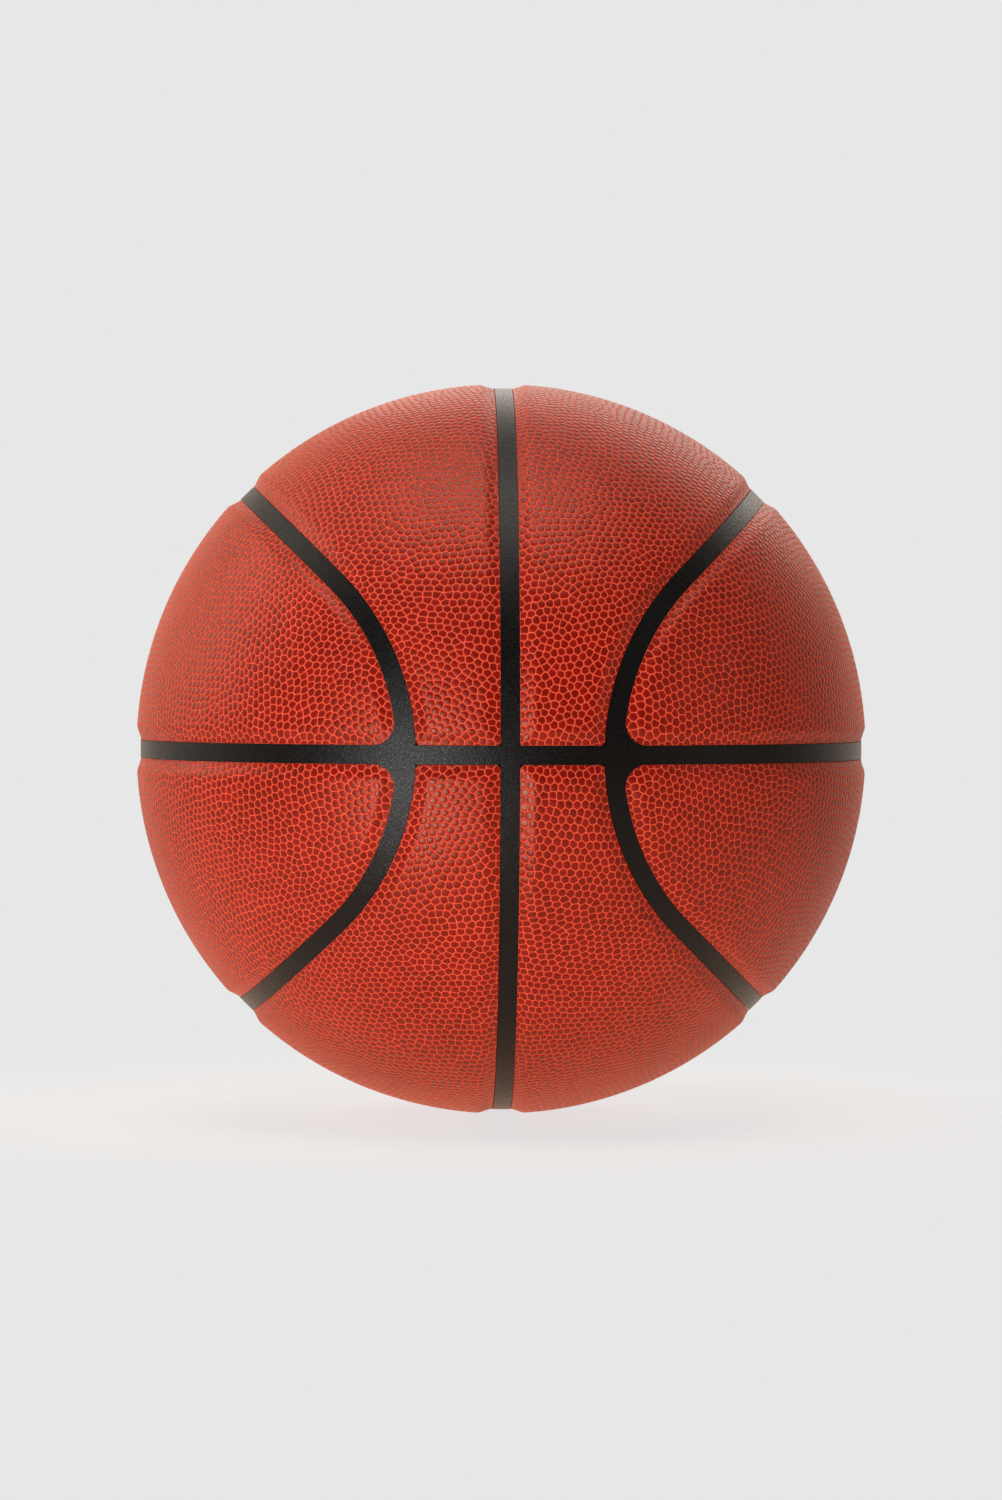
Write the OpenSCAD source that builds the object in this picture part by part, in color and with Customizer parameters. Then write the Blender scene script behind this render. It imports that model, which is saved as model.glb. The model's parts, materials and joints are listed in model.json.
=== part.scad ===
// Full-size basketball: eight glued cover panels on foam pads, a rubber carcass whose ribs are the channels,
// a wound shell, a bladder and its valve. +X is right and -Y is front, and the origin is the ball's centre.

/* [Ball] */
// Diameter over the crowns of the cover panels
ball_d = 242; // [232:0.5:250]
// Thickness of the cover panels
cover_t = 1.4; // [1:0.1:2]
// Thickness of the carcass under the foam pads
carcass_t = 0.8; // [0.5:0.05:1.5]
// Thickness of the thread winding
winding_t = 0.45; // [0.3:0.05:1]
// Thickness of the bladder's wall
bladder_t = 0.7; // [0.5:0.05:1.5]

/* [Channels] */
// Width of the black channel between two panel edges
channel_w = 6; // [4:0.1:7]
// Depth of the channel below the panel crowns
channel_h = 1.4; // [0.8:0.1:2]
// Width over which a panel's edge rolls down to the channel
roll_w = 5; // [3:0.5:8]
// Distance from the middle channel to a loop where it crosses the equator, seen from the front
loop_x = 32; // [28:0.5:38]
// Radius of the side panels' corners at the loop crossings
corner_r = 7; // [3:0.5:9]

/* [Foam pads] */
// Distance from a panel's edge to the foam pad under it
foam_inset = 4.5; // [4:0.5:8]

/* [Valve] */
// Radius of the boot's neck, which shows in the cover
neck_r = 4; // [3.6:0.1:5]
// Radius of the soft core inside the boot
core_r = 2.8; // [2:0.1:3]
// Radius of the needle hole through the core
needle_r = 1.05; // [0.8:0.05:1.3]
// Length of the soft core
core_len = 16; // [10:0.5:22]
// Thickness of the boot's end wall behind the core
boot_end_t = 1.5; // [1:0.1:3]
// Depth of the boot's face below the panel crown
neck_sink = 0.4; // [0.2:0.05:0.8]
// Radius of the boot's flange on the bladder
flange_r = 11; // [8:0.5:16]
// Thickness of the boot's flange
flange_t = 1.2; // [0.8:0.1:2]
// Radius of the rubber patch between the flange and the bladder
patch_r = 16; // [12:0.5:24]
// Thickness of the rubber patch
patch_t = 0.6; // [0.4:0.05:1]
// Angle of the valve over the top of the ball, from the front
valve_over = 136; // [125:1:150]
// Angle of the valve to the right of the middle channel
valve_side = 18; // [16:1:22]

/* [Fits] */
// Glue gap between the cover and what it is bedded on
bed_gap = 0.35; // [0.3:0.05:0.5]
// Gap between two wrapped layers inside
lay_gap = 0.1; // [0.05:0.05:0.2]
// Gap between a panel's edge and the rubber rib
side_gap = 0.15; // [0.1:0.05:0.3]
// Gap round the valve's neck
neck_gap = 0.2; // [0.1:0.05:0.3]
// Gap round the core in the boot
core_gap = 0.05; // [0.03:0.01:0.1]

/* [Hidden] */
$fn = 120;
overrun = 1;
// The spheres' own axis leaves the ball in the middle of a middle panel, clear of the channels
axis_turn = 22.5;

// Layers, from the outside in
cover_r = ball_d / 2;
rib_r = cover_r - channel_h;
skin_r = rib_r - cover_t - bed_gap;
foam_r = cover_r - cover_t - bed_gap;
winding_r = skin_r - carcass_t - lay_gap;
bladder_r = winding_r - winding_t - lay_gap;
bladder_in_r = bladder_r - bladder_t;
patch_top_r = bladder_in_r - lay_gap;
flange_top_r = patch_top_r - patch_t - lay_gap;

// Channels seen from the front: each loop is an arc that runs into the two diagonals
edge = channel_w / 2;
arc_r = loop_x * (sqrt(2) + 1);
arc_x = arc_r * sqrt(2);
diagonal = [1, 0, 1] / sqrt(2);

// In the bays' outlines a straight edge or a corner crosses the arc that it is tangent to at a slight angle
join_turn = 1.5;
corner_join_turn = 4;

// Rows and columns of a panel's surface
corner_rows = 3;
arc_rows = 8;
diagonal_rows = 10;
side_half = corner_rows + arc_rows + diagonal_rows;
crown_columns = 7;
roll_shares = [0, 0.3, 0.6, 1];
roll_steps = len(roll_shares) - 1;
columns = 2 * roll_steps + crown_columns;
middle_half = roll_steps + arc_rows - 2 + diagonal_rows;

// The rounded corner of a side panel, seen from the front
corner_z = edge + corner_r;
corner_x = arc_x - sqrt(pow(arc_r - edge - corner_r, 2) - pow(corner_z, 2));
corner_turn = atan2(corner_z, arc_x - corner_x);
corner_mid = (450 - corner_turn) / 2;

// Angles from the front at which the edges change from one curve to the next
rim_r = sqrt(pow(rib_r, 2) - pow(edge, 2));
tangent_turn = asin(arc_r / rim_r);
corner_low_turn = asin(corner_x / rim_r);
middle_turn = asin(edge / (arc_r + edge));

// Valve, as distances from the ball's centre
neck_top = cover_r - neck_sink;
core_top = neck_top - lay_gap;
core_end = core_top - core_len;
boot_end = core_end - lay_gap - boot_end_t;

leather = [0.7, 0.2, 0.12];
black_rubber = [0.13, 0.12, 0.12];
foam_white = [0.85, 0.82, 0.75];
thread_grey = [0.75, 0.74, 0.68];
butyl = [0.22, 0.22, 0.24];

function mix(a, b, share) = a + (b - a) * share;
function unit(v) = v / norm(v);
function slerp(a, b, share) =
    let (turn = acos(min(1, unit(a) * unit(b))))
    turn == 0 ? unit(a) : (sin((1 - share) * turn) * unit(a) + sin(share * turn) * unit(b)) / sin(turn);

// A point of a sphere of radius r, seen at x and z from the front
function on_ball(x, z, r) = [x, -sqrt(pow(r, 2) - pow(x, 2) - pow(z, 2)), z];

// A point of a straight channel's edge: side is the way off the channel, run the way it leaves the front
function along(side, run, turn, r) =
    edge * side + sqrt(pow(r, 2) - pow(edge, 2)) * [sin(turn) * run.x, -cos(turn), sin(turn) * run.z];

// A point of a loop's edge, at a turn about the arc's centre, and one of the rounded corner
function on_arc(reach, turn, r) = on_ball(arc_x - reach * cos(turn), reach * sin(turn), r);
function on_corner(turn, r) = on_ball(corner_x + corner_r * cos(turn), corner_z + corner_r * sin(turn), r);

// Edges of the upper right side panel, from its front corner (row 0) to the ball's side
function side_low(row, r) =
    row < corner_rows ? on_corner(mix(corner_mid, 270, row / corner_rows), r)
    : let (turn = row < corner_rows + arc_rows
        ? mix(corner_low_turn, tangent_turn, (row - corner_rows) / arc_rows)
        : mix(tangent_turn, 90, (row - corner_rows - arc_rows) / diagonal_rows))
    along([0, 0, 1], [1, 0, 0], turn, r);
function side_high(row, r) =
    row < corner_rows ? on_corner(mix(corner_mid, 180 - corner_turn, row / corner_rows), r)
    : row < corner_rows + arc_rows
        ? on_arc(arc_r - edge, mix(corner_turn, 45, (row - corner_rows) / arc_rows), r)
    : along([1, 0, -1] / sqrt(2), diagonal, mix(tangent_turn, 90, (row - corner_rows - arc_rows) / diagonal_rows), r);

// Edges of the upper right middle panel, from the equator at the front (row 0) to the top
function middle_far(row, r) =
    let (roll_turn = atan(roll_w / arc_r), steps = middle_half - diagonal_rows)
    row <= roll_steps ? on_arc(arc_r + edge, middle_turn + roll_shares[row] * roll_turn, r)
    : row < steps
        ? on_arc(arc_r + edge, mix(middle_turn + roll_turn, 45, (row - roll_steps) / (steps - roll_steps)), r)
    : along([-1, 0, 1] / sqrt(2), diagonal, mix(tangent_turn, 90, (row - steps) / diagonal_rows), r);
function climb(p) = atan2(p.z, -p.y);
function middle_near(row, r) =
    let (start = climb(middle_far(0, rib_r)), corner = asin(edge / rim_r))
    along([1, 0, 0], [0, 0, 1],
        mix(corner, 90, (climb(middle_far(row, rib_r)) - start) / (90 - start)), r);

// Distance from a point of the surface to the nearest edge of its panel
function loop_gap(p, inside) =
    p.x + p.z > arc_x ? inside * (p.x - p.z) / sqrt(2) - edge
    : inside * (arc_r - norm([arc_x - p.x, p.z])) - edge;
function side_gap_at(p) =
    let (a = p.z - edge, b = loop_gap(p, 1))
    a < corner_r && b < corner_r ? corner_r - norm([corner_r - a, corner_r - b]) : min(a, b);
function middle_gap_at(p) = min(p.x - edge, p.z - edge, loop_gap(p, -1));

// Height of the pillowed surface above the channel, at a distance from the panel's edge
function pillow(gap) = let (share = max(0, min(1, gap / roll_w))) channel_h * pow(share, 2) * (3 - 2 * share);

// Share of a row at which a column lies: close columns over both rolled edges, even ones on the crown
function column_share(column, width) =
    let (roll = min(roll_w / width, 1 / 3))
    column <= roll_steps ? roll_shares[column] * roll
    : column >= columns - roll_steps ? 1 - roll_shares[columns - column] * roll
    : mix(roll, 1 - roll, (column - roll_steps) / crown_columns);

// Points of one face of a panel: depth 0 is the outer face, cover_t the inner one
function low_point(side, row, r) = side ? side_low(row, r) : middle_near(row, r);
function high_point(side, row, r) = side ? side_high(row, r) : middle_far(row, r);
function face_point(side, row, column, depth) =
    let (
        r = rib_r - depth,
        low = low_point(side, row, rib_r),
        high = high_point(side, row, rib_r),
        way = slerp(low, high, column_share(column, max(norm(high - low), overrun))),
        gap = side ? side_gap_at(way * rib_r) : middle_gap_at(way * rib_r),
        end_row = !side && row == 0
    )
    column == 0 ? low_point(side, row, r)
    : column == columns ? high_point(side, row, r)
    : way * (r + (end_row ? 0 : pillow(gap)));
function to_back(p) = [p.x, -p.y, p.z];
function face_points(side, half, depth) = [
    for (row = [0:2 * half])
        let (front_row = min(row, 2 * half - row), tip = side && front_row == 0)
        for (column = [0:tip ? 0 : columns])
            let (p = face_point(side, front_row, column, depth))
            row > half ? to_back(p) : p
];

// A panel's solid: two faces of rows and columns, and the walls between them. A side panel ends in two tips.
module panel(side) {
    half = side ? side_half : middle_half;
    last = 2 * half;
    outer = face_points(side, half, 0);
    inner = face_points(side, half, cover_t);
    count = len(outer);
    function at(row, column) =
        !side ? row * (columns + 1) + column
        : row == 0 ? 0
        : row == last ? count - 1
        : 1 + (row - 1) * (columns + 1) + column;
    quads = [
        for (row = [0:last - 1])
            for (column = [0:columns - 1])
                [at(row, column), at(row, column + 1), at(row + 1, column + 1), at(row + 1, column)]
    ];
    rim = concat(
        [for (row = [0:last - 1]) [at(row, 0), at(row + 1, 0)]],
        [for (row = [0:last - 1]) [at(row + 1, columns), at(row, columns)]],
        side ? [] : [for (column = [0:columns - 1]) [at(0, column + 1), at(0, column)]],
        side ? [] : [for (column = [0:columns - 1]) [at(last, column), at(last, column + 1)]]
    );
    triangles = concat(
        [for (q = quads) [q[0], q[1], q[2]]],
        [for (q = quads) [q[0], q[2], q[3]]]
    );
    whole = [for (t = triangles) if (t[0] != t[1] && t[1] != t[2] && t[2] != t[0]) t];
    polyhedron(
        points = concat(outer, inner),
        faces = concat(
            whole,
            [for (t = whole) [t[2] + count, t[1] + count, t[0] + count]],
            [for (e = rim) [e[0], e[1], e[1] + count]],
            [for (e = rim) [e[0], e[1] + count, e[0] + count]]
        )
    );
}

// Outlines of the bays between the channels, seen from the front, at a reach from the channels' middles
module above(reach) {
    translate([0, reach]) square([2 * ball_d, 2 * ball_d]);
}
module beyond_diagonal(side_reach) {
    polygon([
        [arc_x, 0],
        [(arc_x + sqrt(2) * side_reach) / 2, (arc_x - sqrt(2) * side_reach) / 2],
        [2 * ball_d, 2 * ball_d - sqrt(2) * side_reach],
        [2 * ball_d, 0]
    ]);
}
module arc_bay(reach) {
    round_r = corner_r + edge - reach;
    z = reach + round_r;
    x = arc_x - sqrt(pow(arc_r - reach - round_r, 2) - pow(z, 2));
    out = (arc_r - reach + overrun) / (arc_r - reach - round_r);
    difference() {
        intersection() {
            above(reach);
            translate([arc_x, 0]) circle(arc_r - reach);
        }
        if (round_r > 0)
            difference() {
                polygon([
                    [x, z],
                    [x, reach - overrun],
                    [arc_x - arc_r + reach - overrun, reach - overrun],
                    [arc_x + (x - arc_x) * out, z * out]
                ]);
                translate([x, z]) circle(round_r / cos(corner_join_turn));
            }
    }
}
module diagonal_bay(reach) {
    intersection() {
        above(reach);
        beyond_diagonal(reach + (arc_r - reach) * (1 - cos(join_turn)));
    }
}
module middle_bay(reach) {
    difference() {
        translate([reach, reach]) square([ball_d, ball_d]);
        translate([arc_x, 0]) circle(arc_r + reach);
        beyond_diagonal((arc_r + reach) * (1 - cos(join_turn)) - reach);
    }
}
module through_ball() {
    rotate([90, 0, 0]) linear_extrude(height = 2 * ball_d, center = true) children();
}
module bay(side, reach) {
    if (side) {
        through_ball() arc_bay(reach);
        through_ball() diagonal_bay(reach);
    } else {
        through_ball() middle_bay(reach);
    }
}

// Puts the upper right piece in its place: right and upper are 1, left and lower are -1
module place(right, upper) {
    mirror([right > 0 ? 0 : 1, 0, 0])
        mirror([0, 0, upper > 0 ? 0 : 1])
            children();
}
module at_valve() {
    rotate([90 - valve_over, 0, 0]) rotate([0, valve_side, 0]) children();
}
module valve_hole() {
    at_valve() cylinder(h = ball_d, r = neck_r + neck_gap);
}
module ball(r) {
    rotate([0, axis_turn, 0]) sphere(r);
}
module shell(outer, inner) {
    difference() {
        ball(outer);
        ball(inner);
    }
}

module bladder() {
    color(butyl)
        difference() {
            shell(bladder_r, bladder_in_r);
            valve_hole();
        }
}
module winding() {
    color(thread_grey)
        difference() {
            shell(winding_r, winding_r - winding_t);
            valve_hole();
        }
}
module carcass() {
    color(black_rubber)
        difference() {
            union() {
                shell(skin_r, skin_r - carcass_t);
                difference() {
                    shell(rib_r, skin_r - carcass_t / 2);
                    for (right = [1, -1], upper = [1, -1], side = [true, false])
                        place(right, upper) bay(side, edge - side_gap);
                }
            }
            valve_hole();
        }
}
module valve_patch() {
    color(butyl)
        difference() {
            intersection() {
                shell(patch_top_r, patch_top_r - patch_t);
                at_valve() cylinder(h = ball_d, r = patch_r);
            }
            valve_hole();
        }
}
module valve_boot() {
    color(black_rubber)
        difference() {
            union() {
                intersection() {
                    shell(flange_top_r, flange_top_r - flange_t);
                    at_valve() cylinder(h = ball_d, r = flange_r);
                }
                at_valve() translate([0, 0, boot_end]) cylinder(h = neck_top - boot_end, r = neck_r);
            }
            at_valve() translate([0, 0, core_end - lay_gap]) cylinder(h = ball_d, r = core_r + core_gap);
            at_valve() cylinder(h = ball_d, r = needle_r);
        }
}
module valve_core() {
    color(black_rubber)
        at_valve()
            translate([0, 0, core_end])
                difference() {
                    cylinder(h = core_len, r = core_r);
                    translate([0, 0, -overrun]) cylinder(h = core_len + 2 * overrun, r = needle_r);
                }
}

module foam_pad(side, right, upper) {
    color(foam_white)
        intersection() {
            shell(foam_r, skin_r + lay_gap);
            place(right, upper) bay(side, edge + foam_inset);
        }
}
module foam_side_right_upper() { foam_pad(true, 1, 1); }
module foam_side_right_lower() { foam_pad(true, 1, -1); }
module foam_side_left_upper() { foam_pad(true, -1, 1); }
module foam_side_left_lower() { foam_pad(true, -1, -1); }
module foam_middle_right_upper() {
    difference() {
        foam_pad(false, 1, 1);
        valve_hole();
    }
}
module foam_middle_right_lower() { foam_pad(false, 1, -1); }
module foam_middle_left_upper() { foam_pad(false, -1, 1); }
module foam_middle_left_lower() { foam_pad(false, -1, -1); }

module cover_panel(side, right, upper) {
    color(leather) place(right, upper) panel(side);
}
module panel_side_right_upper() { cover_panel(true, 1, 1); }
module panel_side_right_lower() { cover_panel(true, 1, -1); }
module panel_side_left_upper() { cover_panel(true, -1, 1); }
module panel_side_left_lower() { cover_panel(true, -1, -1); }
module panel_middle_right_upper() {
    difference() {
        cover_panel(false, 1, 1);
        color(leather) valve_hole();
    }
}
module panel_middle_right_lower() { cover_panel(false, 1, -1); }
module panel_middle_left_upper() { cover_panel(false, -1, 1); }
module panel_middle_left_lower() { cover_panel(false, -1, -1); }

bladder();
valve_patch();
valve_boot();
valve_core();
winding();
carcass();
foam_side_right_upper();
foam_side_right_lower();
foam_side_left_upper();
foam_side_left_lower();
foam_middle_right_upper();
foam_middle_right_lower();
foam_middle_left_upper();
foam_middle_left_lower();
panel_side_right_upper();
panel_side_right_lower();
panel_side_left_upper();
panel_side_left_lower();
panel_middle_right_upper();
panel_middle_right_lower();
panel_middle_left_upper();
panel_middle_left_lower();
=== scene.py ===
import json
import math

import bpy
import numpy as np
from mathutils import Matrix, Vector
from mathutils.geometry import delaunay_2d_cdt


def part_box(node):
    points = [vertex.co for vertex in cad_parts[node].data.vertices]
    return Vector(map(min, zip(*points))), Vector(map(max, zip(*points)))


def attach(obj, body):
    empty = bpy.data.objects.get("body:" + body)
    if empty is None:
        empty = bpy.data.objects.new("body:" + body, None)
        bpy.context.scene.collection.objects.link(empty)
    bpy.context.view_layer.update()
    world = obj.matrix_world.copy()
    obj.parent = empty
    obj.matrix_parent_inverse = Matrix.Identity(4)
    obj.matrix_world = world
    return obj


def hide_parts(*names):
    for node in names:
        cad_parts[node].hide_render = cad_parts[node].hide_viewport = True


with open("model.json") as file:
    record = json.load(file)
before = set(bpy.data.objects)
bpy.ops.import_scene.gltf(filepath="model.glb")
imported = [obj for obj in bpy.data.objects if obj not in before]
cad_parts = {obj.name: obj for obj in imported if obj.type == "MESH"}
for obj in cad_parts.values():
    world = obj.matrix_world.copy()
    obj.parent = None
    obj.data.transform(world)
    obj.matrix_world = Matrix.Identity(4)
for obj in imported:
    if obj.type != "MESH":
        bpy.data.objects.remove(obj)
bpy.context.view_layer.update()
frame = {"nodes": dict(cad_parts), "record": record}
nodes = frame["nodes"]


# The bladder is a blown sphere of black butyl rubber that holds the air, and a rubber patch backs its valve.
# The sphere is moulded in one piece and dusted with talc, so its skin is dull and faintly cloudy.
def material(name, roughness, specular=0.5):
    made = bpy.data.materials.new(name)
    made.use_nodes = True
    shader = made.node_tree.nodes["Principled BSDF"]
    shader.inputs["Roughness"].default_value = roughness
    shader.inputs["Specular IOR Level"].default_value = specular
    return made, made.node_tree, shader


def place_coordinates(tree):
    return tree.nodes.new("ShaderNodeTexCoord").outputs["Object"]


def noise(tree, scale, detail=2.0):
    made = tree.nodes.new("ShaderNodeTexNoise")
    made.inputs["Scale"].default_value = scale
    made.inputs["Detail"].default_value = detail
    tree.links.new(place_coordinates(tree), made.inputs["Vector"])
    return made.outputs["Fac"]


def ramp(tree, value, stops, smooth=False):
    made = tree.nodes.new("ShaderNodeValToRGB")
    made.color_ramp.interpolation = "EASE" if smooth else "LINEAR"
    marks = made.color_ramp.elements
    while len(marks) < len(stops):
        marks.new(0.5)
    for mark, (place, colour) in zip(marks, stops):
        mark.position = place
        mark.color = (*colour, 1)
    tree.links.new(value, made.inputs["Fac"])
    return made.outputs["Color"]


# A colour as it is seen, from 0 to 255, turned into the shader's own
def srgb(red, green, blue):
    shares = [c / 255 for c in (red, green, blue)]
    return tuple(c / 12.92 if c <= 0.04045 else ((c + 0.055) / 1.055) ** 2.4 for c in shares)


def grain(tree, shader, scale, height, detail=2.0):
    bump = tree.nodes.new("ShaderNodeBump")
    bump.inputs["Strength"].default_value = 1
    bump.inputs["Distance"].default_value = height
    tree.links.new(noise(tree, scale, detail), bump.inputs["Height"])
    tree.links.new(bump.outputs["Normal"], shader.inputs["Normal"])


def finish_node(name, made):
    mesh = nodes[name].data
    mesh.materials.clear()
    mesh.materials.append(made)


butyl, tree, shader = material("butyl_rubber", roughness=0.62)
talc_stops = [(0.35, srgb(44, 44, 48)), (0.7, srgb(66, 66, 70))]
cloud = ramp(tree, noise(tree, scale=22, detail=5), talc_stops)
tree.links.new(cloud, shader.inputs["Base Color"])
grain(tree, shader, scale=900, height=0.00004)
finish_node("bladder", butyl)
finish_node("valve_patch", butyl)


# The valve is two mouldings of black rubber: a boot vulcanised into the bladder, and the soft core in it.
# The core's pale grease has worn off, and both have a slight shine where they are handled.
valve_way = np.array(frame["record"]["mounts"][0]["axis"])
neck_hole_r = 0.0042
valve_rubber, tree, shader = material("valve_rubber", roughness=0.5)
bloom_stops = [(0.3, srgb(16, 16, 17)), (0.75, srgb(28, 27, 28))]
cloud = ramp(tree, noise(tree, scale=260, detail=3), bloom_stops)
tree.links.new(cloud, shader.inputs["Base Color"])
grain(tree, shader, scale=2600, height=0.00003)
finish_node("valve_boot", valve_rubber)
finish_node("valve_core", valve_rubber)


# The winding is one long nylon thread wound over the bladder in great circles, in a thin film of latex.
# Each turn crosses the ones below at a new angle, and all of them pass round the valve's neck.
turns, steps_a_turn = 170, 90
drift_a_turn = math.radians(23.7)
thread_w, thread_t = 0.0017, 0.00016
film_t, film_rings, film_sides = 0.00012, 60, 96
neck_clear = 0.0056


def unit(vectors):
    return vectors / np.linalg.norm(vectors, axis=-1, keepdims=True)


def shell_radii(name):
    reach = np.linalg.norm([v.co for v in nodes[name].data.vertices], axis=1)
    return reach.min(), reach.max()


# A mesh from points, faces grouped by their number of corners, values at the points and bake map places
def make_piece(name, points, faces, made, values=(), places=None, mirror=(1, 1)):
    mesh = bpy.data.meshes.new(name)
    points = points * np.array([mirror[0], 1, mirror[1]])
    if mirror[0] * mirror[1] < 0:
        faces = [face[:, ::-1] for face in faces]
        places = places and [place[:, ::-1] for place in places]
    sizes = np.concatenate([np.full(len(face), face.shape[1]) for face in faces])
    mesh.vertices.add(len(points))
    mesh.vertices.foreach_set("co", points.astype(np.float32).ravel())
    mesh.loops.add(sizes.sum())
    mesh.loops.foreach_set("vertex_index", np.concatenate([face.ravel() for face in faces]).astype(np.int32))
    mesh.polygons.add(len(sizes))
    mesh.polygons.foreach_set("loop_start", np.r_[0, np.cumsum(sizes)[:-1]].astype(np.int32))
    mesh.update(calc_edges=True)
    for word, numbers in values:
        mesh.attributes.new(word, "FLOAT", "POINT").data.foreach_set("value", numbers.astype(np.float32))
    if places:
        flat = np.concatenate([place.reshape(-1, 2) for place in places]).astype(np.float32)
        mesh.uv_layers.new(name="OFBake").data.foreach_set("uv", flat.ravel())
    mesh.shade_smooth()
    mesh.set_sharp_from_angle(angle=math.radians(65))
    mesh.materials.append(made)
    piece = bpy.data.objects.new(name, mesh)
    bpy.context.scene.collection.objects.link(piece)
    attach(piece, "root")
    return piece


# The thread's line climbs from the film to the outside, and its circles lean over from level to upright
wound_low, wound_high = shell_radii("winding")
at = np.arange(turns * steps_a_turn + 1) / steps_a_turn
lean = np.arccos(1 - at / turns)
drift = at * drift_a_turn
spin = 2 * math.pi * at
flat_x, flat_y = np.cos(spin), np.sin(spin) * np.cos(lean)
line = np.stack(
    [
        flat_x * np.cos(drift) - flat_y * np.sin(drift),
        flat_x * np.sin(drift) + flat_y * np.cos(drift),
        np.sin(spin) * np.sin(lean),
    ],
    axis=1,
)
aside = line - valve_way
apart = np.linalg.norm(aside, axis=1, keepdims=True)
pushed = (apart**4 + (neck_clear / wound_high) ** 4) ** 0.25
line = unit(valve_way + aside / apart * pushed)
forward = unit(np.gradient(line, axis=0))
across = np.cross(line, forward)
wound_t = wound_high - wound_low - film_t - thread_t
line_r = (wound_low + film_t + thread_t / 2 + wound_t * at / turns)[:, None]
four_sides = [
    line * line_r + across * thread_w / 2,
    line * (line_r + thread_t / 2),
    line * line_r - across * thread_w / 2,
    line * (line_r - thread_t / 2),
]
thread_points = np.stack(four_sides, axis=1).reshape(-1, 3)
first = 4 * np.arange(len(line) - 1)[:, None]
here = np.arange(4)
there = (here + 1) % 4
thread_faces = np.stack([first + here, first + 4 + here, first + 4 + there, first + there], axis=2)
last = 4 * (len(line) - 1)
thread_ends = np.array([[3, 2, 1, 0], [last, last + 1, last + 2, last + 3]])

# The film is a shell in rings about the valve, open at its neck and closed at the far end
tilt = np.linspace(math.asin(neck_hole_r / wound_low), math.pi, film_rings)[:-1]
turn = np.arange(film_sides) * 2 * math.pi / film_sides
first_way = unit(np.cross(valve_way, [1, 0, 0]))
second_way = np.cross(valve_way, first_way)
rings = (
    np.cos(tilt)[:, None, None] * valve_way
    + np.sin(tilt)[:, None, None] * (np.cos(turn)[:, None] * first_way + np.sin(turn)[:, None] * second_way)
).reshape(-1, 3)
skin = np.concatenate([rings, -valve_way[None, :]])
here = np.arange(film_sides)
there = (here + 1) % film_sides
ring = np.arange(film_rings - 2)[:, None] * film_sides
next_ring = ring + film_sides
bands = np.stack([ring + here, next_ring + here, next_ring + there, ring + there], axis=2).reshape(-1, 4)
last_ring = (film_rings - 2) * film_sides
tip = np.stack([last_ring + here, np.full(film_sides, len(rings)), last_ring + there], axis=1)
outer, inner = len(thread_points), len(thread_points) + len(skin)
mouth = np.stack([outer + here, outer + there, inner + there, inner + here], axis=1)

winding_thread, tree, shader = material("winding_thread", roughness=0.7, specular=0.4)
yarn_stops = [(0.3, srgb(196, 190, 170)), (0.7, srgb(224, 219, 202))]
yarn = ramp(tree, noise(tree, scale=420, detail=3), yarn_stops)
tree.links.new(yarn, shader.inputs["Base Color"])
grain(tree, shader, scale=2400, height=0.00005)
piece = make_piece(
    "wound_thread",
    np.concatenate([thread_points, skin * (wound_low + film_t), skin * wound_low]),
    [
        thread_faces.reshape(-1, 4), thread_ends,
        outer + bands, outer + tip, inner + bands[:, ::-1], inner + tip[:, ::-1], mouth,
    ],
    winding_thread,
)
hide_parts("winding")


# The carcass is a moulded sphere of black rubber over the winding. Its raised ribs show between the panels.
# The mould leaves a fine matte grain on them, which sparkles a little where light falls along it.
def grey(level):
    return (level, level, level)


channel_rubber, tree, shader = material("channel_rubber", roughness=0.34, specular=0.17)
speck_stops = [(0.3, srgb(5, 5, 5)), (0.6, srgb(9, 8, 8)), (0.85, srgb(30, 29, 29))]
speck = ramp(tree, noise(tree, scale=2400, detail=3), speck_stops)
tree.links.new(speck, shader.inputs["Base Color"])
gloss = ramp(tree, noise(tree, scale=2000, detail=3), [(0.36, grey(0.24)), (0.64, grey(0.44))])
tree.links.new(gloss, shader.inputs["Roughness"])
grain(tree, shader, scale=2400, height=0.00013, detail=3)
finish_node("carcass", channel_rubber)

# Seen from the front, a loop of ribs is an arc through loop_x on the equator, and runs on at 45 degrees
rib_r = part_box("carcass")[1].z
rib_w = 0.006
edge = rib_w / 2
corner_r = 0.007
loop_x = 0.032
arc_r = loop_x * (math.sqrt(2) + 1)
arc_x = arc_r * math.sqrt(2)


# Eight foam pads lie on the carcass under the panels and give them their crown.
# They are cut from fine closed-cell sheet and lie a little slack, and the cover presses their edges round.
pad_inset, pad_slack = 0.0045, 0.00006
round_w, round_steps = 0.00045, 5
pad_pitch, pad_chord = 0.006, 0.002
pad_seed = 100

# How far the middle of a side or middle patch leans up from level, and how far seeds lie along and across
# it. They are moved by a share of their pitch, and kept and evened out some pitches beyond the outline
side_lean, middle_lean = math.radians(22.5), math.radians(67.5)
half_long, half_wide = math.radians(100), math.radians(28.5)
disorder, pitches_kept, pitches_evened = 0.2, 2.6, 1.3


def mirror_of(name):
    return (1 if "right" in name else -1, 1 if "upper" in name else -1)


def loop_gap(x, z, inside):
    straight = inside * (x - z) / math.sqrt(2) - edge
    bend = inside * (arc_r - np.hypot(arc_x - x, z)) - edge
    return np.where(x + z > arc_x, straight, bend)


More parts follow.
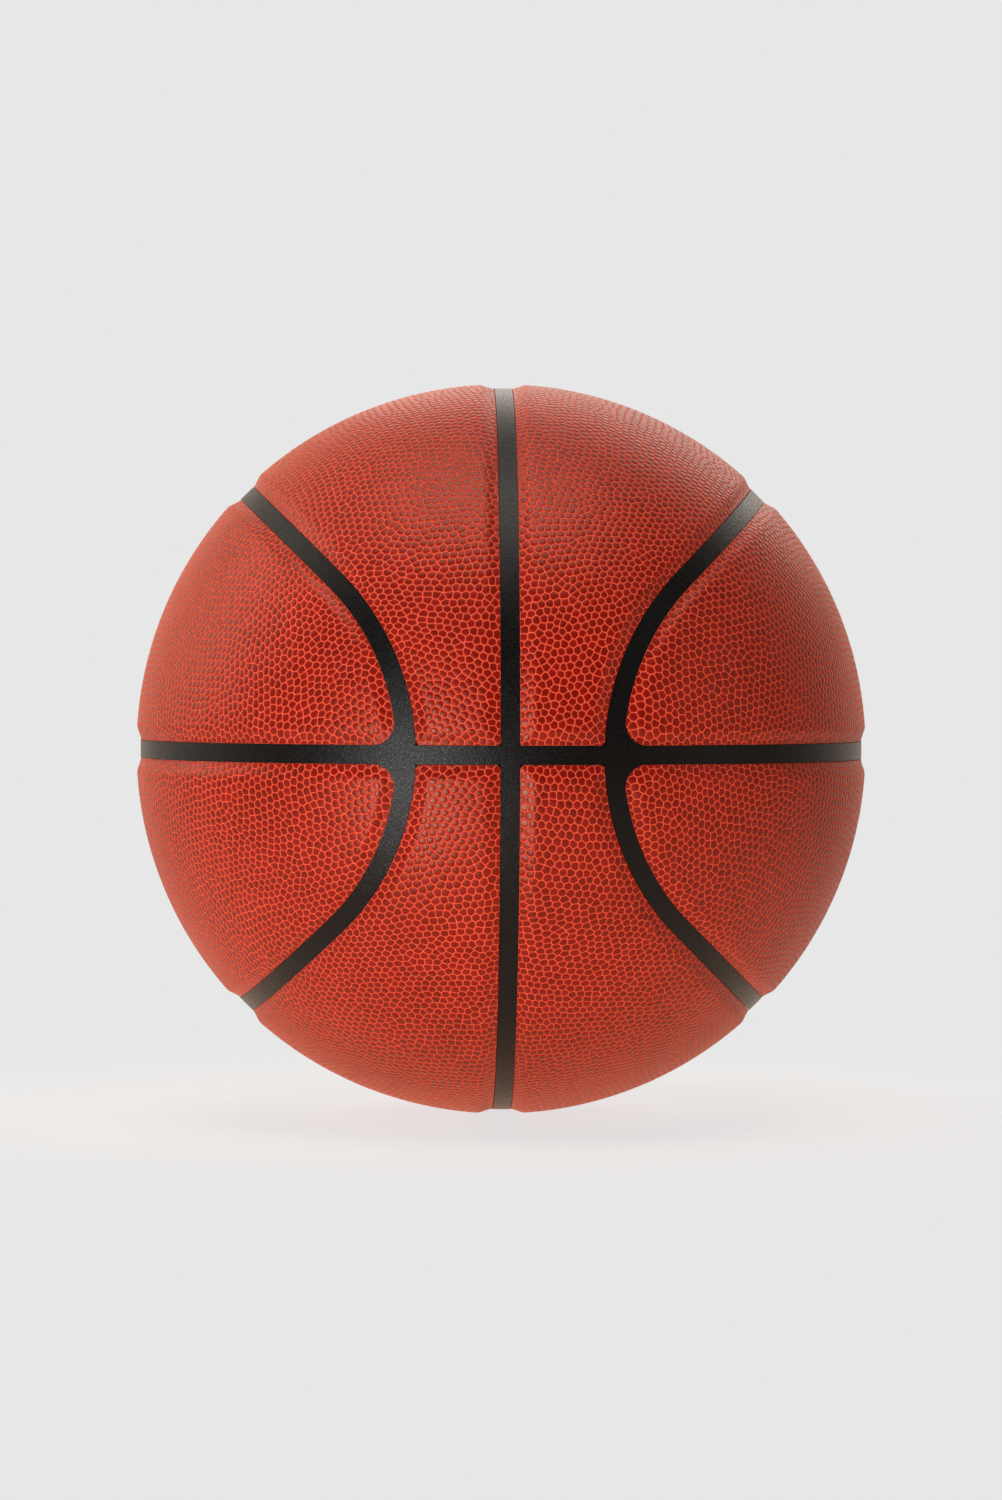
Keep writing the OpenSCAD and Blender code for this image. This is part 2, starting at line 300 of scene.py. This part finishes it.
# Distance from ways out of the upper right of the ball to the nearest edge of its side or middle panel
def panel_gap(side, ways):
    x, z = ways[..., 0] * rib_r, ways[..., 2] * rib_r
    if not side:
        return np.minimum(np.minimum(x, z) - edge, loop_gap(x, z, -1))
    low, loop = z - edge, loop_gap(x, z, 1)
    corner = corner_r - np.hypot(corner_r - low, corner_r - loop)
    return np.where((low < corner_r) & (loop < corner_r), corner, np.minimum(low, loop))


class Patch:
    """The upper right side or middle panel's outline. A way is a unit vector from the ball's centre."""

    def __init__(self, side, inset=0.0, valve=False, waves=()):
        self.side, self.inset, self.valve, self.waves = side, inset, valve, waves
        lean = side_lean if side else middle_lean
        self.mid = np.array([math.cos(lean), 0, math.sin(lean)])
        self.wide = np.cross(self.mid, [0, 1, 0])

    def edge_gap(self, ways):
        return panel_gap(self.side, ways) - self.inset

    def gap(self, ways):
        found = self.edge_gap(ways)
        if self.valve:
            found = np.minimum(found, np.linalg.norm(ways - valve_way, axis=-1) * rib_r - neck_hole_r)
        return found

    # Triangles between ways, flattened from the point opposite the patch, which keeps circles round
    def triangles(self, ways):
        scale = 1 / (1 + ways @ self.mid)
        flat = np.stack([ways[:, 1] * scale, (ways @ self.wide) * scale], axis=1)
        whole_hull, closest = 0, 1e-9
        return np.array(delaunay_2d_cdt([Vector(p) for p in flat.tolist()], [], [], whole_hull, closest)[2])

    # Steepest way to a larger gap, and how fast the gap grows along it
    def slope(self, ways):
        aslant = self.wide + 0.1 * self.mid
        across = unit(np.cross(ways, aslant))
        step = 1e-6
        gap = self.gap(ways)[:, None]
        return sum(
            (self.gap(unit(ways + step * way))[:, None] - gap) / (step * rib_r) * way
            for way in (across, np.cross(ways, across))
        )

    # An embossed sheet is drawn out of shape in broad waves, so its cells lie longer one way or another
    def drawn(self, ways):
        for along, aside, phase in self.waves:
            ways = unit(ways + aside * np.sin(ways @ along + phase)[..., None])
        return ways

    # Slides ways along the ball until they lie on the outline
    def onto_edge(self, ways):
        rounds, least_steep = 12, 0.2
        for _ in range(rounds):
            slope = self.slope(ways)
            steep = np.maximum((slope**2).sum(1, keepdims=True), least_steep)
            ways = unit(ways - self.gap(ways)[:, None] / rib_r * slope / steep)
        return ways


# Seeds of the cells: staggered rows along the patch, a little out of place, evened out like packed bubbles
def seeds_of(patch, pitch, rng, evenings):
    rows = []
    for count, row in enumerate(np.arange(-half_wide, half_wide, pitch * math.sqrt(3) / 2 / rib_r)):
        step = pitch / rib_r / math.cos(row)
        turns = np.arange(-half_long, half_long, step) + (count % 2) * step / 2
        rows.append(np.stack([turns, np.full(len(turns), row)], axis=1))
    turn, row = np.concatenate(rows).T
    turn = turn + rng.normal(0, disorder * pitch / rib_r, len(turn))
    row = row + rng.normal(0, disorder * pitch / rib_r, len(row))
    seeds = (
        (np.cos(row) * np.cos(turn))[:, None] * patch.mid
        + (np.cos(row) * np.sin(turn))[:, None] * np.array([0, 1, 0])
        + np.sin(row)[:, None] * patch.wide
    )
    seeds = seeds[patch.edge_gap(patch.drawn(seeds)) > -pitches_kept * pitch]
    for _ in range(evenings):
        corners, seed, corner, _, following = cells_of(patch, seeds)
        a, b = corners[corner], corners[corner[following]]
        own = seeds[seed]
        area = np.linalg.norm(np.cross(a - own, b - own), axis=1)[:, None]
        total = np.zeros_like(seeds)
        np.add.at(total, seed, area * (a + b + own))
        loose = patch.edge_gap(patch.drawn(seeds)) > -pitches_evened * pitch
        seeds[loose] = unit(total[loose])
    return seeds


# Cells round the seeds: every corner, and each cell's corners in turn as a run of the lists seed and corner
def cells_of(patch, seeds):
    faces = patch.triangles(seeds)
    a, b, c = (seeds[faces[:, k]] for k in range(3))
    corners = unit(np.cross(b - a, c - a))
    seed = faces.ravel()
    corner = np.repeat(np.arange(len(faces)), 3)
    own = seeds[seed]
    aslant = patch.wide + 0.05 * patch.mid
    first = unit(aslant - own * (own @ aslant)[:, None])
    out = corners[corner] - own
    angle = np.arctan2((out * np.cross(own, first)).sum(1), (out * first).sum(1))
    order = np.lexsort((angle, seed))
    seed, corner = seed[order], corner[order]
    starts = np.flatnonzero(np.r_[True, seed[1:] != seed[:-1]])
    counts = np.diff(np.r_[starts, len(seed)])
    following = np.arange(1, len(seed) + 1)
    following[starts + counts - 1] = starts
    return corners, seed, corner, (starts, counts), following


# The patch cut into cells: its points, each cell's points in turn, and the outline's edges, patch on the left
def cut_cells(patch, seeds, chord):
    corners, _, corner, (starts, counts), following = cells_of(patch, seeds)
    corners = patch.drawn(corners)
    inside = patch.gap(corners) > 0
    here, there = corner, corner[following]
    crosses = inside[here] != inside[there]
    crossed = np.sort(np.stack([here, there], axis=1)[crosses], axis=1)
    pairs, which = np.unique(crossed, axis=0, return_inverse=True)
    crossing = np.full(len(corner), -1)
    crossing[crosses] = len(corners) + which.ravel()
    first_in = inside[pairs[:, 0]][:, None]
    near = np.where(first_in, corners[pairs[:, 0]], corners[pairs[:, 1]])
    far = np.where(first_in, corners[pairs[:, 1]], corners[pairs[:, 0]])
    halvings = 24
    for _ in range(halvings):
        middle = unit(near + far)
        within = (patch.gap(middle) > 0)[:, None]
        near, far = np.where(within, middle, near), np.where(within, far, middle)
    points = np.concatenate([corners, near])

    cells, edges, chords = [], [], []

    # Follows the outline from where a cell's run left the patch to where it comes back
    def follow(cell, end):
        a, b = points[cell[-1]], points[end]
        steps = max(1, round(np.linalg.norm(b - a) * rib_r / chord))
        run = [cell[-1]]
        for k in range(1, steps):
            run.append(len(points) + len(chords))
            chords.append(a + (b - a) * k / steps)
        edges.extend(zip(run, run[1:] + [end]))
        return cell + run[1:]

    for start, count in zip(starts, counts):
        run = np.arange(start, start + count)
        within = inside[corner[run]]
        if within.all():
            cells.append(corner[run].tolist())
        elif within.any():
            begin = next(k for k in range(count) if not within[k] and within[(k + 1) % count])
            cell = []
            for place in np.roll(run, -begin):
                if inside[corner[place]]:
                    cell.append(corner[place])
                elif crossing[place] >= 0 and cell:
                    cell = follow(cell, crossing[place])
                if crossing[place] >= 0:
                    cell.append(crossing[place])
            cells.append(follow(cell, cell[0]))
    points = np.concatenate([points, patch.onto_edge(unit(np.array(chords)))])
    used, cell_points = np.unique(np.concatenate(cells), return_inverse=True)
    new_place = np.zeros(len(points), int)
    new_place[used] = np.arange(len(used))
    ends = np.cumsum([len(cell) for cell in cells])[:-1]
    return points[used], np.split(cell_points, ends), new_place[np.array(edges)]


# Cells grouped by their number of points, each group as one array
def by_size(cells):
    sizes = np.array([len(cell) for cell in cells])
    groups = [np.flatnonzero(sizes == size) for size in np.unique(sizes)]
    return [np.array([cells[k] for k in group]) for group in groups]


def foam_pad(name, number):
    rng = np.random.default_rng(pad_seed + number)
    patch = Patch("side" in name, pad_inset + round_w, name == "foam_middle_right_upper")
    low, high = shell_radii(name)
    points, cells, edges = cut_cells(patch, seeds_of(patch, pad_pitch, rng, 1), pad_chord)
    count = len(points)
    rim, place = np.unique(edges, return_inverse=True)
    a, b = place.reshape(-1, 2).T
    away = -unit(patch.slope(points[rim]))
    slack = rng.uniform(0, pad_slack, count)
    slack[rim] = 0
    corners = [points * (high - slack)[:, None], points * low]
    rows = [rim]
    for k in range(1, round_steps):
        turn = math.pi * k / round_steps
        ways = unit(points[rim] + away * round_w * math.sin(turn) / high)
        corners.append(ways * (low + (high - low) * (1 + math.cos(turn)) / 2))
        rows.append(2 * count + (k - 1) * len(rim) + np.arange(len(rim)))
    rows.append(count + rim)
    groups = by_size(cells)
    faces = groups + [count + group[:, ::-1] for group in groups]
    for upper, lower in zip(rows, rows[1:]):
        faces.append(np.stack([upper[a], lower[a], lower[b], upper[b]], axis=1))
    pad_name = name.replace("foam", "pad")
    corners = np.concatenate(corners)
    piece = make_piece(pad_name, corners, faces, pad_foam, mirror=mirror_of(name))
    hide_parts(name)


pad_foam, tree, shader = material("pad_foam", roughness=0.88, specular=0.3)
pore_stops = [(0.32, srgb(214, 206, 184)), (0.6, srgb(238, 233, 217))]
pores = ramp(tree, noise(tree, scale=1700, detail=4), pore_stops)
tree.links.new(pores, shader.inputs["Base Color"])
grain(tree, shader, scale=1700, height=0.00006, detail=4)
for number, name in enumerate(n for n in sorted(nodes) if n.startswith("foam")):
    foam_pad(name, number)


# The cover is eight panels of composite leather, cut from an embossed sheet and glued on over the foam.
# Each panel's pebbles are painted darker on their tops and light along the valleys between them, a painted
# highlight, and its edges are skived and rolled down to the ribs.
crown_r = shell_radii("panel_middle_left_lower")[1]
cover_t = 0.0014
roll_w = 0.005
pebble_pitch, pebble_h = 0.00258, 0.00018
cover_chord = 0.0005
wave_count, wave_rates, wave_reach = 3, (10, 17), 0.012

# A pebble's rings: how far out they lie, their shares of the cell's own outline and of a circle, how high
# they lie, and their place on the painted highlight and shade of the relief, where the valley is 0 and the
# peak is 1
shoulder_reach, shoulder_own, shoulder_circle = 0.84, 0.7, 0.3
top_reach, top_own, top_circle = 0.64, 0.3, 0.7
shoulder_level, top_level = 0.58, 0.94
shoulder_shading_mark, top_shading_mark = 0.2, 0.5
full_reach_share, least_h_share, h_spread = 0.5, 0.3, (0.84, 1)

# The bake map: a patch lies on it as four stretches, two by two, over strips for its underside and its walls
stretches = 4
map_long, map_wide = 1.62, 0.46
top_left, top_low = 0.012, 0.075
next_right, next_up = 0.5, 0.465
stretch_w, stretch_h = 0.464, 0.44
under_left, under_w, under_low, under_h = 0.01, 0.98, 0.02, 0.035
wall_low, wall_high = 0.004, 0.013


def pillow(gap):
    share = np.clip(gap / roll_w, 0, 1)
    return (crown_r - rib_r) * share**2 * (3 - 2 * share)


# Where ways lie along and across their patch, as shares of its length and width
def patch_shares(patch, ways):
    along = np.arctan2(ways[..., 1], ways @ patch.mid) / map_long * 0.5 + 0.5
    across = np.arcsin(np.clip(ways @ patch.wide, -1, 1)) / map_wide * 0.5 + 0.5
    return along, across


def top_place(patch, ways, stretch):
    along, across = patch_shares(patch, ways)
    u = top_left + next_right * (stretch % 2) + stretch_w * (stretches * along - stretch)
    v = top_low + next_up * (stretch // 2) + stretch_h * across
    return np.stack([u, v], axis=-1)


def under_place(patch, ways):
    along, across = patch_shares(patch, ways)
    return np.stack([under_left + under_w * along, under_low + under_h * across], axis=-1)


def wall_places(count):
    u = np.linspace(under_left, 1 - under_left, count + 1)
    corners = [(u[:-1], wall_high), (u[:-1], wall_low), (u[1:], wall_low), (u[1:], wall_high)]
    return np.stack([np.stack([across, np.full(count, up)], axis=1) for across, up in corners], axis=1)


# Points of the pebbles over cells of one size: shoulder, top and peak, and each pebble's mean reach
def pebble_rings(valley):
    many, size, _ = valley.shape
    after = np.roll(valley, -1, axis=1)
    mid = valley.mean(axis=1, keepdims=True)
    area = np.linalg.norm(np.cross(valley - mid, after - mid), axis=2, keepdims=True)
    peak = unit((area * (valley + after + mid)).sum(axis=1, keepdims=True))
    around = np.stack([valley, (valley + after) / 2], axis=2).reshape(many, 2 * size, 3) - peak
    reach = np.linalg.norm(around, axis=2, keepdims=True)
    broad = reach.mean(axis=1, keepdims=True)
    pull = np.minimum(reach, broad) / reach
    shoulder = unit(peak + shoulder_reach * around * (shoulder_own + shoulder_circle * pull))
    top = unit(peak + top_reach * (around * (top_own + top_circle * pull))[:, ::2])
    return shoulder, top, peak, broad


# Triangles of the same pebbles, from the valley over shoulder and top to the peak
def pebble_faces(valley, start):
    many, size = valley.shape
    shoulder = start + np.arange(2 * many * size).reshape(many, 2 * size)
    top = start + 2 * many * size + np.arange(many * size).reshape(many, size)
    peak = np.broadcast_to(start + 3 * many * size + np.arange(many)[:, None], (many, size))
    low, mid_low = shoulder[:, ::2], shoulder[:, 1::2]
    next_valley, next_low, next_top = (np.roll(ring, -1, axis=1) for ring in (valley, low, top))
    corners = [
        (valley, next_valley, mid_low), (valley, mid_low, low), (next_valley, next_low, mid_low),
        (low, mid_low, top), (mid_low, next_top, top), (mid_low, next_low, next_top), (top, next_top, peak),
    ]
    return [np.stack(three, axis=2).reshape(-1, 3) for three in corners]


# One panel's pebbled sheet: round-topped pebbles over shared valleys, walls down its edge, and the underside
def pebbled_panel(name, number):
    rng = np.random.default_rng(number)
    along = unit(rng.normal(size=(wave_count, 3))) * rng.uniform(*wave_rates, (wave_count, 1))
    aside = wave_reach * unit(np.cross(along, rng.normal(size=(wave_count, 3))))
    waves = list(zip(along, aside, rng.uniform(0, 2 * math.pi, wave_count)))
    patch = Patch("side" in name, valve=name == "panel_middle_right_upper", waves=waves)
    points, cells, edges = cut_cells(patch, seeds_of(patch, pebble_pitch, rng, 2), cover_chord)
    base = rib_r + pillow(patch.edge_gap(points))
    count = len(points)
    ways, radii = [points, points], [base - pebble_h, base - cover_t]
    rise, tone = [np.zeros(2 * count)], [np.full(2 * count, 0.5)]
    under = [np.r_[np.zeros(count), np.ones(count)]]
    faces, places = [], []
    for group in by_size(cells):
        many, size = group.shape
        shoulder, top, peak, broad = pebble_rings(points[group])
        tall = pebble_h * np.clip(broad * rib_r / (full_reach_share * pebble_pitch), least_h_share, 1)
        tall = tall * rng.uniform(*h_spread, (many, 1, 1))
        shade = rng.uniform(0, 1, many)
        start = sum(len(part) for part in ways)
        # Each ring's mark sets where it lies on the painted highlight in the valleys and the painted darker
        # tops
        rings = [(shoulder, shoulder_shading_mark, shoulder_level), (top, top_shading_mark, top_level), (peak, 1, 1)]
        for ring, shading_mark, level in rings:
            sheet = rib_r + pillow(patch.edge_gap(ring)) - pebble_h
            ways.append(ring.reshape(-1, 3))
            radii.append((sheet + level * tall[:, :, 0]).ravel())
            rise.append(np.full(len(ways[-1]), shading_mark))
            tone.append(np.repeat(shade, ring.shape[1]))
            under.append(np.zeros(len(ways[-1])))
        whole = np.concatenate(ways)
        stretch = np.floor(stretches * under_place(patch, peak[:, 0])[:, 0])
        stretch = np.repeat(np.clip(stretch, 0, stretches - 1), size)[:, None]
        for face in pebble_faces(group, start):
            faces.append(face)
            places.append(top_place(patch, whole[face], stretch))
        faces.append(count + group[:, ::-1])
        places.append(under_place(patch, points[group[:, ::-1]]))
    a, b = edges.T
    faces.append(np.stack([a, a + count, b + count, b], axis=1))
    places.append(wall_places(len(edges)))
    corners = np.concatenate(ways) * np.concatenate(radii)[:, None]
    lists = {"rise": rise, "tone": tone, "under": under}
    values = [(word, np.concatenate(parts)) for word, parts in lists.items()]
    cover_name = name.replace("panel", "cover")
    piece = make_piece(cover_name, corners, faces, leather, values, places, mirror_of(name))
    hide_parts(name)


def attribute(tree, name):
    made = tree.nodes.new("ShaderNodeAttribute")
    made.attribute_name = name
    return made.outputs["Fac"]


def arithmetic(tree, kind, *values):
    made = tree.nodes.new("ShaderNodeMath")
    made.operation = kind
    for socket, value in zip(made.inputs, values):
        if isinstance(value, (int, float)):
            socket.default_value = value
        else:
            tree.links.new(value, socket)
    return made.outputs["Value"]


def mixed(tree, share, first, second, kind="MIX"):
    made = tree.nodes.new("ShaderNodeMix")
    made.data_type = "RGBA"
    made.blend_type = kind
    if isinstance(share, (int, float)):
        made.inputs[0].default_value = share
    else:
        tree.links.new(share, made.inputs[0])
    tree.links.new(first, made.inputs[6])
    tree.links.new(second, made.inputs[7])
    return made.outputs[2]


leather, tree, shader = material("cover_leather", roughness=0.4)
shader.inputs["Specular Tint"].default_value = (1, 0.6, 0.46, 1)
shader.inputs["Sheen Weight"].default_value = 0.42
shader.inputs["Sheen Roughness"].default_value = 0.35
shader.inputs["Sheen Tint"].default_value = (1, 0.3, 0.15, 1)

# Gloss and colour follow the relief, with ragged bounds: the colour paints a highlight along the valleys and
# darker tops. Each pebble lies somewhere between two dyes
raggedness = 0.16
ragged = arithmetic(tree, "SUBTRACT", noise(tree, scale=2600), 0.5)
ragged = arithmetic(tree, "MULTIPLY", ragged, raggedness)
rise = arithmetic(tree, "ADD", attribute(tree, "rise"), ragged)
# From valley to top: a painted highlight in the valley, then darker and darker red up to the painted dark top
brown_stops = [
    (0.035, srgb(202, 96, 68)),
    (0.095, srgb(183, 49, 28)),
    (0.175, srgb(157, 26, 10)),
    (0.29, srgb(123, 15, 6)),
    (0.41, srgb(106, 11, 4)),
]
red_stops = [
    (0.045, srgb(206, 103, 76)),
    (0.115, srgb(192, 54, 32)),
    (0.21, srgb(171, 29, 13)),
    (0.35, srgb(140, 18, 8)),
    (0.48, srgb(124, 14, 6)),
]
colour = mixed(tree, attribute(tree, "tone"), ramp(tree, rise, brown_stops), ramp(tree, rise, red_stops))
dye = ramp(tree, noise(tree, scale=26, detail=3), [(0.35, grey(0.9)), (0.65, grey(1))])
colour = mixed(tree, 1, colour, dye, "MULTIPLY")
backing_stops = [(0.3, srgb(96, 60, 48)), (0.7, srgb(128, 88, 72))]
backing = ramp(tree, noise(tree, scale=700, detail=4), backing_stops)
colour = mixed(tree, attribute(tree, "under"), colour, backing)
tree.links.new(colour, shader.inputs["Base Color"])
polish = ramp(tree, rise, [(0.1, grey(0.6)), (0.45, grey(0.335))])
tree.links.new(polish, shader.inputs["Roughness"])
lacquer = ramp(tree, rise, [(0.15, grey(0.05)), (0.45, grey(0.34))])
tree.links.new(lacquer, shader.inputs["Specular IOR Level"])
grain(tree, shader, scale=5200, height=0.000012, detail=3)
for number, name in enumerate(n for n in sorted(nodes) if n.startswith("panel")):
    pebbled_panel(name, number)


# The ball is shown just over a pale paper floor, which fades into a pale backdrop and is clear from below.
# A narrow key lamp and four softer ones light it. The paper glows as a painted light, brightest near the ball
# over the shadow that falls under it, and its glow is warmer and stronger towards the ball than as seen, so
# it throws warm light up under the ball.
floor_z, floor_r, floor_sides = -0.1215, 1.6, 64
rim_turns = np.arange(floor_sides) * 2 * math.pi / floor_sides
rim = [(floor_r * math.cos(turn), floor_r * math.sin(turn), floor_z) for turn in rim_turns]
floor_mesh = bpy.data.meshes.new("floor")
floor_mesh.from_pydata(rim, [], [range(floor_sides)])
floor = bpy.data.objects.new("floor", floor_mesh)
bpy.context.scene.collection.objects.link(floor)
paper, tree, shader = material("floor_paper", roughness=0.95, specular=0.1)
fibres = ramp(tree, noise(tree, scale=60, detail=3), [(0.3, grey(0.2)), (0.7, grey(0.22))])
tree.links.new(fibres, shader.inputs["Base Color"])
shader.inputs["Emission Strength"].default_value = 1
away = tree.nodes.new("ShaderNodeVectorMath")
away.operation = "LENGTH"
tree.links.new(place_coordinates(tree), away.inputs[0])
# Painted light: the paper's glow is brighter near the ball, over the shadow that falls under it
floor_glow = ramp(tree, away.outputs["Value"], [(0.1, grey(0.72)), (0.2, grey(0.62)), (0.4, grey(0.56))])
warmth = tree.nodes.new("ShaderNodeRGB").outputs[0]
warmth.default_value = (1.4, 0.9, 0.66, 1)
# Painted light: a warmer, stronger glow for all but camera rays lights the ball from below
painted_glow_up = mixed(tree, 1, floor_glow, warmth, "MULTIPLY")
camera_ray = tree.nodes.new("ShaderNodeLightPath").outputs["Is Camera Ray"]
tree.links.new(mixed(tree, camera_ray, painted_glow_up, floor_glow), shader.inputs["Emission Color"])
solid = ramp(tree, away.outputs["Value"], [(0.1, grey(1)), (0.34, grey(0))], smooth=True)
from_below = tree.nodes.new("ShaderNodeNewGeometry").outputs["Backfacing"]
from_above = arithmetic(tree, "SUBTRACT", 1, from_below)
tree.links.new(arithmetic(tree, "MULTIPLY", solid, from_above), shader.inputs["Alpha"])
floor_mesh.materials.append(paper)

# What the ball reflects: dark in front of it, pale walls behind it and warm paper below it
world = bpy.data.worlds.new("studio")
bpy.context.scene.world = world
world.use_nodes = True
tree = world.node_tree
way = tree.nodes.new("ShaderNodeSeparateXYZ")
tree.links.new(tree.nodes.new("ShaderNodeTexCoord").outputs["Generated"], way.inputs[0])
backward = arithmetic(tree, "MULTIPLY_ADD", way.outputs["Y"], 0.5, 0.5)
upward = arithmetic(tree, "MULTIPLY_ADD", way.outputs["Z"], 0.5, 0.5)
walls = [(0.0, grey(0.02)), (0.5, grey(0.04)), (0.68, (0.33, 0.29, 0.25)), (0.9, (0.85, 0.71, 0.59))]
table = [(0.0, (1.05, 0.8, 0.64)), (0.33, (1.05, 0.8, 0.64)), (0.46, grey(0))]
around = mixed(tree, 1, ramp(tree, backward, walls), ramp(tree, upward, table), "LIGHTEN")
shining = tree.nodes["Background"]
shining.inputs["Strength"].default_value = 1.1
tree.links.new(around, shining.inputs["Color"])
backdrop = tree.nodes.new("ShaderNodeBackground")
backdrop.inputs["Color"].default_value = (0.8, 0.8, 0.8, 1)
either = tree.nodes.new("ShaderNodeMixShader")
tree.links.new(tree.nodes.new("ShaderNodeLightPath").outputs["Is Camera Ray"], either.inputs[0])
tree.links.new(shining.outputs[0], either.inputs[1])
tree.links.new(backdrop.outputs[0], either.inputs[2])
tree.links.new(either.outputs[0], tree.nodes["World Output"].inputs["Surface"])


# A lamp that faces the ball's centre, with its size in metres and its power in watts
def softbox(name, place, wide, high, power, colour=(1, 1, 1)):
    lamp = bpy.data.lights.new(name, "AREA")
    lamp.color = colour
    lamp.shape = "RECTANGLE"
    lamp.size, lamp.size_y = wide, high
    lamp.energy = power
    made = bpy.data.objects.new(name, lamp)
    made.matrix_world = Matrix.Translation(place) @ Vector(place).to_track_quat("Z", "Y").to_matrix().to_4x4()
    bpy.context.scene.collection.objects.link(made)


warm, warmer = (1, 0.93, 0.86), (1, 0.88, 0.76)
softbox("key", (-0.72, -1.36, -0.22), wide=0.06, high=0.9, power=23.5)
softbox("fill", (1.5, -0.7, 0.4), wide=0.9, high=1.2, power=2.8, colour=warm)
softbox("top", (-0.08, -0.26, 1.5), wide=1.3, high=0.9, power=19, colour=warm)
softbox("left_rim", (-1.35, 0.35, 0.7), wide=0.8, high=1.2, power=8.6, colour=warmer)
softbox("back", (0.35, 1.2, 0.9), wide=1.4, high=0.9, power=7, colour=warm)

# The camera looks along Y at the ball as it was held: turned about Z, tilted about X and rolled about Y
camera_away = 1.5
camera_data = bpy.data.cameras.new("camera")
camera_data.sensor_width = 36
camera_data.lens = 108.15
camera_data.shift_y = -0.00079
camera = bpy.data.objects.new("camera", camera_data)
turned, tilted, rolled = math.radians(1.403), math.radians(0.958), math.radians(0.119)
held = Matrix.Rotation(turned, 4, "Z") @ Matrix.Rotation(tilted, 4, "X") @ Matrix.Rotation(rolled, 4, "Y")
to_front = Matrix.Translation((0, -camera_away, 0))
level = Matrix.Rotation(math.pi / 2, 4, "X")
camera.matrix_world = held.transposed() @ to_front @ level
bpy.context.scene.collection.objects.link(camera)
bpy.context.scene.camera = camera
bpy.context.scene.view_settings.view_transform = "Standard"
